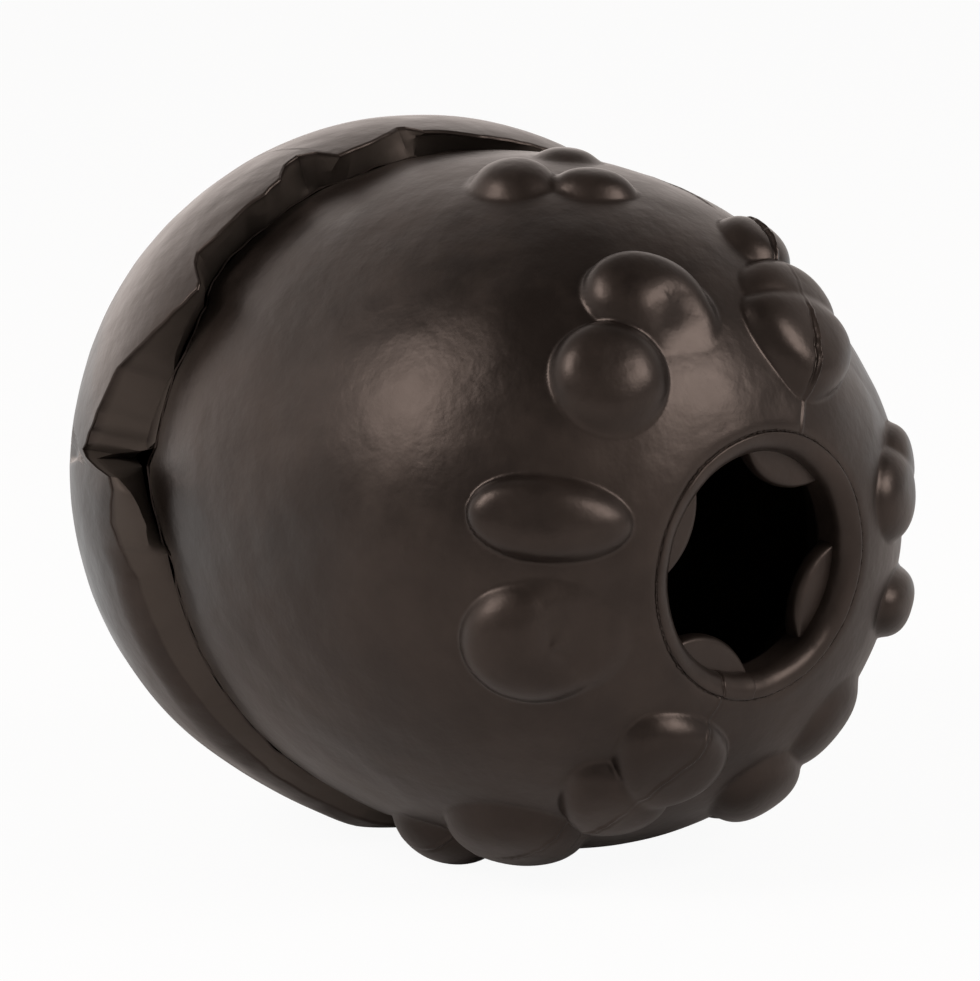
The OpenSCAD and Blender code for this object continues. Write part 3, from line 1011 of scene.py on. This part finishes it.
@dataclass
class CrackedShell:
    """The shell over the egg's tail: half an ellipsoid whose front edge is broken into facets.

    At the turn sag_turn the shell sags outwards by up to sag, from sag_rear on over sag_run. From chip_x
    back, over chip_length, a chip is cut out by the depth chip, which widens behind chip_x to chip_spread
    degrees on either side. The broken face takes the pale colour of torn rubber, which there is also a
    painted reflection, and worn_pale is how much less of it a worn face gets.
    """

    maker: Maker
    crack: Crack
    back: float = 17.9
    rise: float = 1.92
    tail_wall: float = 4.22
    gap: float = 0.15
    pole_radius: float = 2.0
    edge_round: float = 0.30
    worn_round: float = 4.0
    sag: float = 1.5
    sag_turn: float = -157.0
    sag_spread: float = 11.0
    sag_rear: float = -26.0
    sag_run: float = 15.0
    chip: float = 0.9
    chip_turn: float = -82.6
    chip_x: float = -32.2
    chip_length: float = 10.0
    chip_end: float = 3.0
    chip_run: float = 8.0
    chip_spread: float = 3.6
    chip_start: float = 6.0
    chip_brim: tuple[float, float] = (1.1, 0.25)
    worn_pale: float = 0.2
    least_drop: float = 0.25
    columns: int = 720
    outer_rows: int = 96
    facet_rows: int = 14

    @property
    def radius(self) -> float:
        """Greatest radius of the shell."""
        return self.maker.form.radius + self.rise

    @property
    def length(self) -> float:
        """Length of the shell's ellipsoid behind its widest ring."""
        return self.maker.form.tail_length - self.back + self.gap + self.tail_wall

    def turns(self) -> Array:
        """Spreads the columns evenly, with one at each corner of the crack.

        Returns:
            The columns' turns.
        """
        corners = self.crack.corners()
        even = np.arange(self.columns) * 360 / self.columns - 180
        far = np.min(np.abs(from_line(even[:, None], corners[None])), 1) > 0.2
        return np.sort(np.concatenate([even[far], corners]))

    def rough(self, x: Array, turns: Array) -> Array:
        """How far the outside departs from the ellipsoid: its sag, its chip and faint waves.

        Args:
            x: Places along the axis.
            turns: Turns round it.

        Returns:
            The rise, in the radius.
        """
        down = from_line(turns, self.sag_turn) / self.sag_spread
        sag = self.sag * np.exp(-down * down) * np.clip((x - self.sag_rear) / self.sag_run, 0, 1) ** 2
        behind = np.clip((self.chip_x - x) / self.chip_run, 0, 1)
        beside = np.abs(turns - self.chip_turn) / np.maximum(self.chip_spread * behind, 1e-3)
        across, brim = self.chip_brim
        chip = self.chip * np.clip((across - beside) / brim, 0, 1) * np.clip(behind * self.chip_start, 0, 1)
        chip *= np.clip((x - self.chip_x + self.chip_length) / self.chip_end, 0, 1)
        place = revolve(x, 40, np.radians(turns))
        return sag - chip + faint_waves(place, (18, 5), 21)

    def skin(self, turns: Array, edge: Array, slope: Array) -> Array:
        """The outside from the rear to the crack's edge, which is worn round.

        Args:
            turns: Turns of the columns.
            edge: The edge's place along the axis at each of them.
            slope: Slope of the broken face at each of them.

        Returns:
            Places along the axis and radii, stacked along the last axis.
        """
        low = math.asin(self.pole_radius / self.radius)
        top = np.arcsin(np.clip((edge + self.back) / self.length, -1, 1)) + math.pi / 2
        share = 1 - (1 - np.linspace(0, 1, self.outer_rows)) ** 1.7
        angle = low + (top - low)[None] * share[:, None]
        x = -self.back - self.length * np.cos(angle)
        r = self.radius * np.sin(angle)
        r = r + self.rough(x, turns[None] + 0 * x) * np.clip(share * 5, 0, 1)[:, None]
        soft = self.crack.at(turns, "soft")
        short = np.clip(1 - (edge - x) / self.edge_round, 0, 1)
        worn = np.clip(1 - (edge - x) / self.worn_round, 0, 1)
        r -= (1 - soft) * self.edge_round * (1 - np.sqrt(1 - short ** 2))
        r -= soft * slope * self.worn_round / 2 * worn ** 2
        return np.stack([x, r], -1)

    def build(self, finish: bpy.types.Material) -> bpy.types.Object:
        """Makes the shell as one closed piece: outside, rounded edge, broken face and inside.

        Args:
            finish: The rubber.

        Returns:
            The piece.
        """
        form, crack = self.maker.form, self.crack
        turns = self.turns()
        edge = -crack.at(turns, "edge") + 0.07 * ring_noise(turns, 20, 110, 5)
        ledge = -crack.at(turns, "ledge") + 0.05 * ring_noise(turns, 20, 110, 6)
        foot = -crack.at(turns, "foot")
        sink, soft = crack.at(turns, "sink"), crack.at(turns, "soft")
        full = self.radius * np.sqrt(1 - ((edge + self.back) / self.length) ** 2)
        foot_r = form.outline(foot, self.gap) - crack.slump(foot, turns)
        ledge_r = full - sink * (full - form.outline(edge, self.gap))
        slope = np.clip((full - ledge_r) / np.maximum(ledge - edge, 0.5), 0, 0.6)
        outer = self.skin(turns, edge, slope)
        least = foot_r + self.least_drop * (outer[-1, :, 1] - foot_r)
        lowered = np.maximum(ledge_r - slope * self.worn_round / 2, least)
        ledge_r = ledge_r + soft * (np.minimum(lowered, ledge_r) - ledge_r)
        t = np.linspace(0, 1, self.facet_rows + 1)[1:, None]
        start = outer[-1]
        middle, end = np.stack([ledge, ledge_r], -1), np.stack([foot, foot_r], -1)
        t = t[..., None]
        bent = np.where(t < 0.5, start + (middle - start) * 2 * t, middle + (end - middle) * (2 * t - 1))
        curved = (1 - t) ** 2 * start + 2 * t * (1 - t) * middle + t * t * end
        face = bent + (curved - bent) * soft[:, None]
        pole = form.tail_length * 0.9985
        xi = foot + (-pole - foot) * np.linspace(0, 1, 16)[1:, None]
        sunk = crack.slump(foot, turns) * np.clip(1 - (foot - xi) / 4, 0, 1)
        inside = np.stack([xi, form.outline(xi, self.gap) - sunk], -1)
        flat = np.concatenate([outer, face, inside])
        rows = revolve(flat[..., 0], flat[..., 1], np.radians(turns))
        n, c = rows.shape[:2]
        poles = np.array([[-self.back - self.length, 0, 0], [-form.tail_length - self.gap, 0, 0]])
        points = np.concatenate([rows.reshape(-1, 3), poles])
        faces = grid_quads(n, c, True).tolist() + pole_fans(n, c, True)
        made = self.maker.piece("cracked_shell", points, faces, finish, 34)
        # The broken face is drawn pale: torn rubber, brightened as a painted reflection; worn faces get a
        # little less
        pale = np.tile(1 - self.worn_pale * soft, self.facet_rows)
        self.maker.mark_torn_and_painted_light(made, np.concatenate([np.zeros(self.outer_rows * c), pale]))
        return made


@dataclass
class CrackFlash:
    """The thin broken thread of rubber that stands along the rim of the egg's skin at the crack."""

    maker: Maker
    crack: Crack
    half: float = 0.15
    ahead: float = 0.08
    rise: float = 0.06
    wander: float = 0.10
    columns: int = 1080

    def build(self, finish: bpy.types.Material) -> bpy.types.Object:
        """Makes the thread as one closed ring.

        Args:
            finish: The rubber.

        Returns:
            The piece.
        """
        form = self.maker.form
        turns = np.arange(self.columns) * 360 / self.columns - 180
        x = -self.crack.at(turns, "line") + self.ahead
        radius = form.outline(x) - self.crack.fall(x, turns) + self.rise
        radius = radius + self.wander * ring_noise(turns, 10, 60, 41)
        return self.maker.thread("crack_flash", turns, x, radius, self.half, finish)


@dataclass
class MouthRing:
    """The smooth lip that runs in to the throat, with the flange that the egg holds."""

    maker: Maker
    throat: float = 12.7
    lip: float = 2.1
    land_rear: float = 4.95
    rear_radius: float = 15.0
    flange_radius: float = 18.2
    flange_x: float = 3.6
    collar: float = 1.6
    length: float = 7.0
    edge_round: float = 0.3
    columns: int = 400

    def profile(self) -> Array:
        """Draws the ring's closed outline: lip, throat, rear and flange.

        Returns:
            X and radius of each point.
        """
        m, outer = self.maker.form.mouth_x, self.maker.form.mouth_radius
        edge = np.radians(np.linspace(0, 90, 6))
        small = self.edge_round
        start = np.stack([m - small + small * np.sin(edge), outer - small + small * np.cos(edge)], 1)
        a = np.linspace(0, math.pi / 2, 24)[1:]
        lip_radius = outer - small - (outer - small - self.throat) * np.sin(a)
        lip = np.stack([m - self.lip * (1 - np.cos(a)), lip_radius], 1)
        back = np.linspace(self.lip, self.land_rear, 8)[1:]
        throat = np.stack([m - back, np.full(len(back), self.throat)], 1)
        rest = np.array([
            (m - self.length, self.rear_radius), (m - self.length, self.flange_radius),
            (m - self.flange_x, self.flange_radius), (m - self.collar, outer)])
        return np.concatenate([start, lip, throat, rest])

    def build(self, finish: bpy.types.Material) -> bpy.types.Object:
        """Makes the ring as one closed piece.

        Args:
            finish: The rubber.

        Returns:
            The piece.
        """
        line = self.profile()
        angles = np.linspace(0, 2 * np.pi, self.columns, endpoint=False)
        rows = revolve(line[:, :1], line[:, 1:], angles)
        rows[:29, :, 0] += 0.05 * ripple(rows[:29], 5, 31)
        n = len(line)
        quads = grid_quads(n + 1, self.columns, True) % (n * self.columns)
        return self.maker.piece("mouth_lip", rows.reshape(-1, 3), quads.tolist(), finish, 50)


@dataclass
class RingFlash:
    """The thin uneven thread of rubber along the seam between the lip and the egg."""

    maker: Maker
    thin: float = 0.05
    thick: float = 0.10
    behind: float = 0.22
    rise: float = 0.06
    wander: float = 0.04
    columns: int = 1080

    def build(self, finish: bpy.types.Material) -> bpy.types.Object:
        """Makes the thread as one closed ring, thinner and thicker by turns.

        Args:
            finish: The rubber.

        Returns:
            The piece.
        """
        form = self.maker.form
        turns = np.arange(self.columns) * 360 / self.columns - 180
        half = self.thin + self.thick * np.clip(ring_noise(turns, 20, 160, 61), 0, 1)
        radius = form.mouth_radius + self.rise + self.wander * ring_noise(turns, 10, 90, 62)
        return self.maker.thread("ring_flash", turns, form.mouth_x - self.behind, radius, half, finish)


@dataclass
class LipTab:
    """The thin tongue of rubber that the mould left lying over the lip below a flap."""

    maker: Maker
    ring: MouthRing
    turn: float = -166.5
    half_turn: float = 9.5
    thickness: float = 0.22
    sunk: float = 0.12
    ragged: float = 0.8
    side_share: float = 0.08
    end_angle: float = 0.15
    rows: int = 40
    columns: int = 60

    def build(self, finish: bpy.types.Material) -> bpy.types.Object:
        """Makes the tab as one closed piece that follows the lip from its rim to the throat.

        Args:
            finish: The rubber.

        Returns:
            The piece.
        """
        lip = resample(self.ring.profile()[2:30], np.linspace(0, 1, self.rows))
        along = np.gradient(lip, axis=0)
        out = np.stack([-along[:, 1], along[:, 0]], 1) / np.linalg.norm(along, axis=1)[:, None]
        out *= np.sign(out[3, 0])
        bow = np.sin(np.linspace(self.end_angle, math.pi - self.end_angle, self.rows))
        taper = bow[:, None] ** 0.3
        line = np.concatenate([lip + out * self.thickness * taper, (lip - out * self.sunk)[::-1]])
        share = np.linspace(-1, 1, self.columns)
        place = np.stack([line[:, 0], line[:, 1], 0 * line[:, 0]], 1)
        wide = self.half_turn + self.ragged * ripple(place, 2.2, 51)
        angles = np.radians(self.turn + wide[:, None] * share[None])
        thin = np.clip((1 - np.abs(share)) / self.side_share, 0, 1) ** 0.5
        middle = np.concatenate([lip, lip[::-1]])
        x = middle[:, :1] + (line[:, :1] - middle[:, :1]) * thin
        radius = middle[:, 1:] + (line[:, 1:] - middle[:, 1:]) * thin
        rows = revolve(x, radius, angles)
        faces = bar_faces(*rows.shape[:2])
        return self.maker.piece("lip_tab", rows.reshape(-1, 3), faces, finish, 60)


@dataclass
class RubberFlap:
    """A rounded tongue that grows out of the throat's wall and reaches towards the axis."""

    maker: Maker
    which: Flap
    tip: float = 9.1
    outline: float = 8.3
    thickness: float = 2.4
    front: float = 2.3
    root: float = 13.2
    edge_round: float = 0.95
    bend_length: float = 1.6
    columns: int = 72
    rows: int = 14

    def build(self, finish: bpy.types.Material) -> bpy.types.Object:
        """Makes the flap as one closed piece.

        At an angle f from the flap's middle, its free edge is where the ray from the throat's axis
        meets the near side of a circle: d cos f - sqrt(R^2 - (d sin f)^2).

        Args:
            finish: The rubber.

        Returns:
            The piece.
        """
        centre = self.tip + self.outline
        across = self.root ** 2 + centre ** 2 - self.outline ** 2
        widest = math.acos(across / (2 * self.root * centre))
        f = np.linspace(-widest, widest, self.columns + 2)[1:-1]
        edge = centre * np.cos(f) - np.sqrt(self.outline ** 2 - (centre * np.sin(f)) ** 2)
        b = self.edge_round
        turn = np.radians(np.linspace(0, 90, 6))
        run = np.linspace(0, 1, self.rows)[:, None]
        front_r = self.root + (edge + b - self.root) * run
        half = self.thickness / 2
        nose = [edge + b - b * s for s in np.sin(turn)[1:]]
        nose_x = [half - b + b * c for c in np.cos(turn)[1:]]
        r = np.concatenate([front_r, np.array(nose), np.array(nose)[::-1], front_r[::-1]])
        x = np.concatenate([
            np.full(self.rows, half), np.array(nose_x), -np.array(nose_x)[::-1], np.full(self.rows, -half)])
        r = np.minimum(r, self.root)
        angles = f + math.radians(self.which.value[1])
        middle = self.maker.form.mouth_x - self.front - half
        rows = revolve(middle + x[:, None], r, angles)
        faces = bar_faces(*rows.shape[:2])
        name = self.which.value[0].replace("_flap", "_tongue")
        return self.maker.piece(name, rows.reshape(-1, 3), faces, finish, 60)

    def bend(self, piece: bpy.types.Object) -> None:
        """Bakes the flap's placement into its mesh; the root and tip places that it works out are not used.

        Args:
            piece: The flap's mesh.
        """
        a = math.radians(self.which.value[1])
        x = self.maker.form.mouth_x - self.front - self.thickness / 2
        reach = (self.root, self.root - self.bend_length)
        ends = np.array([[x, r * math.sin(a), r * math.cos(a)] for r in reach])
        start, end = self.maker.frame.place(ends, self.maker.form.mouth_x)
        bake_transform(piece)


@dataclass
class Studio:
    """Camera, lamps, world and floor for a picture on white.

    The camera lies in the direction way from the mouth, which it sees at mouth_at, in pixels. The
    world is lighter towards backdrop_way, glows in the midst of that, and is dimmer overhead.
    """

    maker: Maker
    way: tuple[float, float, float] = (0.7232, -0.6412, 0.2565)
    distance: float = 653.3
    lens: float = 215.0
    sensor: float = 36.0
    picture: tuple[float, float] = (980.0, 981.0)
    mouth_at: tuple[float, float] = (762.07, 566.31)
    backdrop_way: tuple[float, float, float] = (-0.95, 0.22, -0.20)
    backdrop_reach: tuple[float, float] = (-0.25, 0.6)
    front_level: float = 0.38
    back_level: float = 1.04
    glow: float = 1.15
    glow_reach: tuple[float, float] = (0.66, 0.92)
    top_level: float = 0.33
    top_reach: tuple[float, float] = (0.50, 0.82)
    warmth: tuple[float, float, float] = (1.0, 0.90, 0.85)
    lit_at: tuple[float, float, float] = (0.02, 0.0, 0.04)
    floor_half: float = 12.0
    floor_colour: float = 0.85
    floor_white: float = 0.94
    floor_way: tuple[float, float, float] = (-0.97, 0.22, 0.0)
    floor_reach: tuple[float, float] = (0.04, 0.11)

    def camera(self) -> bpy.types.Object:
        """Sets the camera that sees the mouth at its place in the picture.

        Returns:
            The camera.
        """
        frame, form = self.maker.frame, self.maker.form
        back = np.array(self.way) / np.linalg.norm(self.way)
        right = np.cross([0, 0, 1.0], back)
        right /= np.linalg.norm(right)
        up = np.cross(back, right)
        eye = frame.place(np.array([form.mouth_x, 0, 0]) + back * self.distance, form.mouth_x)
        focal = self.lens / self.sensor * max(self.picture)
        dx = (self.picture[0] / 2 - self.mouth_at[0]) / focal
        dy = (self.picture[1] / 2 - self.mouth_at[1]) / focal
        aim = -back + right * dx - up * dy
        aim /= np.linalg.norm(aim)
        side = np.cross(aim, up)
        side /= np.linalg.norm(side)
        top = np.cross(side, aim)
        turned = Matrix(frame.turn(np.stack([side, top, -aim])).tolist()).transposed()
        data = bpy.data.cameras.new("camera")
        data.lens = self.lens
        data.sensor_width = self.sensor
        made = bpy.data.objects.new("camera", data)
        made.matrix_world = Matrix.Translation(Vector(eye)) @ turned.to_4x4()
        bpy.context.scene.collection.objects.link(made)
        bpy.context.scene.camera = made
        return made

    def lamp(self, name: str, azimuth: float, elevation: float, distance: float,
             size: tuple[float, float], power: float) -> None:
        """Hangs one soft box that faces the object.

        Args:
            name: Name of the lamp.
            azimuth: Its direction from the object, from +X towards +Y.
            elevation: Its angle above the floor.
            distance: Its distance.
            size: Its width and height.
            power: Its power.
        """
        data = bpy.data.lights.new(name, "AREA")
        data.shape = "RECTANGLE"
        data.size, data.size_y = size
        data.energy = power
        data.color = self.warmth
        a, e = math.radians(azimuth), math.radians(elevation)
        way = Vector((math.cos(e) * math.cos(a), math.cos(e) * math.sin(a), math.sin(e)))
        made = bpy.data.objects.new(name, data)
        made.location = Vector(self.lit_at) + way * distance
        made.rotation_euler = (-way).to_track_quat("-Z", "Y").to_euler()
        bpy.context.scene.collection.objects.link(made)

    @staticmethod
    def ramp(nodes: bpy.types.Nodes, links: bpy.types.NodeLinks, sky: bpy.types.Node,
             way: tuple[float, float, float], reach: tuple[float, float],
             levels: tuple[float, float]) -> bpy.types.NodeSocket:
        """Adds nodes that turn the direction looked in to a level of light.

        Args:
            nodes: The world's nodes.
            links: Their links.
            sky: The node that gives the direction.
            way: Direction that the level depends on.
            reach: Shares of that direction where the level starts and stops to change.
            levels: Level at each of them.

        Returns:
            The socket that gives the level.
        """
        dot = add_node(nodes, "VectorMath", {"operation": "DOT_PRODUCT"})
        dot.inputs[1].default_value = way
        smooth = add_node(nodes, "MapRange", {"interpolation_type": "SMOOTHSTEP"}, From_Min=reach[0],
                          From_Max=reach[1], To_Min=levels[0], To_Max=levels[1])
        links.new(sky.outputs["Generated"], dot.inputs[0])
        links.new(dot.outputs["Value"], smooth.inputs["Value"])
        return smooth.outputs["Result"]

    def world(self) -> None:
        """Lights the object softly from all round, and shows the camera plain white."""
        made = bpy.data.worlds.new("studio")
        bpy.context.scene.world = made
        made.use_nodes = True
        nodes, links = made.node_tree.nodes, made.node_tree.links
        soft = nodes["Background"]
        soft.inputs["Color"].default_value = (*self.warmth, 1)
        sky = add_node(nodes, "TexCoord")
        levels = (self.front_level, self.back_level)
        share = self.ramp(nodes, links, sky, self.backdrop_way, self.backdrop_reach, levels)
        edge = self.ramp(nodes, links, sky, self.backdrop_way, self.glow_reach, (0.0, self.glow))
        dim = self.ramp(nodes, links, sky, (0, 0, 1), self.top_reach, (1.0, self.top_level))
        both = add_node(nodes, "Math", {"operation": "ADD"})
        links.new(share, both.inputs[0])
        links.new(edge, both.inputs[1])
        level = add_node(nodes, "Math", {"operation": "MULTIPLY"})
        links.new(both.outputs["Value"], level.inputs[0])
        links.new(dim, level.inputs[1])
        links.new(level.outputs["Value"], soft.inputs["Strength"])
        white = add_node(nodes, "Background", Color=(1, 1, 1, 1), Strength=1.0)
        path = add_node(nodes, "LightPath")
        mix = add_node(nodes, "MixShader")
        links.new(path.outputs["Is Camera Ray"], mix.inputs["Fac"])
        links.new(soft.outputs["Background"], mix.inputs[1])
        links.new(white.outputs["Background"], mix.inputs[2])
        links.new(mix.outputs["Shader"], nodes["World Output"].inputs["Surface"])

    def floor(self) -> None:
        """Lays the pale floor, which shows white with a faint shadow."""
        mesh = bpy.data.meshes.new("floor")
        s = self.floor_half
        mesh.from_pydata([(-s, -s, 0), (s, -s, 0), (s, s, 0), (-s, s, 0)], [], [(0, 1, 2, 3)])
        made = bpy.data.objects.new("floor", mesh)
        bpy.context.scene.collection.objects.link(made)
        finish = bpy.data.materials.new("pale_floor")
        finish.use_nodes = True
        nodes, links = finish.node_tree.nodes, finish.node_tree.links
        nodes.clear()
        matt = add_node(nodes, "BsdfDiffuse", Color=(*[self.floor_colour] * 3, 1))
        white = add_node(nodes, "Emission")
        path = add_node(nodes, "LightPath")
        place = add_node(nodes, "TexCoord")
        away = add_node(nodes, "VectorMath", {"operation": "DOT_PRODUCT"})
        away.inputs[1].default_value = self.floor_way
        behind = add_node(nodes, "MapRange", From_Min=self.floor_reach[0], From_Max=self.floor_reach[1])
        shiny = add_node(nodes, "Math", {"operation": "MULTIPLY"})
        seen = add_node(nodes, "Math", {"operation": "ADD", "use_clamp": True})
        part = add_node(nodes, "Math", {"operation": "MULTIPLY"})
        part.inputs[1].default_value = self.floor_white
        mix = add_node(nodes, "MixShader")
        out = add_node(nodes, "OutputMaterial")
        links.new(place.outputs["Object"], away.inputs[0])
        links.new(away.outputs["Value"], behind.inputs["Value"])
        links.new(behind.outputs["Result"], shiny.inputs[0])
        links.new(path.outputs["Is Glossy Ray"], shiny.inputs[1])
        links.new(path.outputs["Is Camera Ray"], seen.inputs[0])
        links.new(shiny.outputs["Value"], seen.inputs[1])
        links.new(seen.outputs["Value"], part.inputs[0])
        links.new(part.outputs["Value"], mix.inputs["Fac"])
        links.new(matt.outputs["BSDF"], mix.inputs[1])
        links.new(white.outputs["Emission"], mix.inputs[2])
        links.new(mix.outputs["Shader"], out.inputs["Surface"])
        mesh.materials.append(finish)

    def build(self) -> None:
        """Sets up the whole studio."""
        self.camera()
        self.world()
        self.floor()
        self.lamp("left_box", azimuth=-104, elevation=41, distance=0.9, size=(0.34, 0.44), power=4.4)
        self.lamp("right_box", azimuth=24, elevation=30, distance=0.9, size=(0.46, 0.40), power=4.4)
        bpy.context.scene.view_settings.view_transform = "Standard"


def main() -> None:
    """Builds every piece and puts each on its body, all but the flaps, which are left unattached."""
    logging.basicConfig(level=logging.INFO, format="%(name)s: %(message)s")
    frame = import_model()
    form = EggForm()
    maker = Maker(EggFrame.from_record(frame["record"]), form)
    rubber = Rubber("egg_rubber").material()
    shell_rubber = Rubber("shell_rubber").material()
    ring_rubber = Rubber("ring_rubber").material()
    flap_rubber = Rubber("flap_rubber").material()
    knobs, crack = knobs_of(form), Crack()
    for side, node in ((Side.RIGHT, "right_body_half"), (Side.LEFT, "left_body_half")):
        half = BodyHalf(maker, side, knobs, crack).build(rubber)
        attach(half, "egg")
        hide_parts(node)
    shell = CrackedShell(maker, crack).build(shell_rubber)
    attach(shell, "egg")
    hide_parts("shell_cap")
    flash = CrackFlash(maker, crack).build(rubber)
    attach(flash, "egg")
    ring = MouthRing(maker).build(ring_rubber)
    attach(ring, "egg")
    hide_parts("mouth_ring")
    seam = RingFlash(maker).build(ring_rubber)
    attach(seam, "egg")
    tab = LipTab(maker, MouthRing(maker)).build(ring_rubber)
    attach(tab, "egg")
    for which in Flap:
        tongue = RubberFlap(maker, which)
        piece = tongue.build(flap_rubber)
        tongue.bend(piece)
        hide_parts(which.value[0])
    Studio(maker).build()


if __name__ == "__main__":
    main()
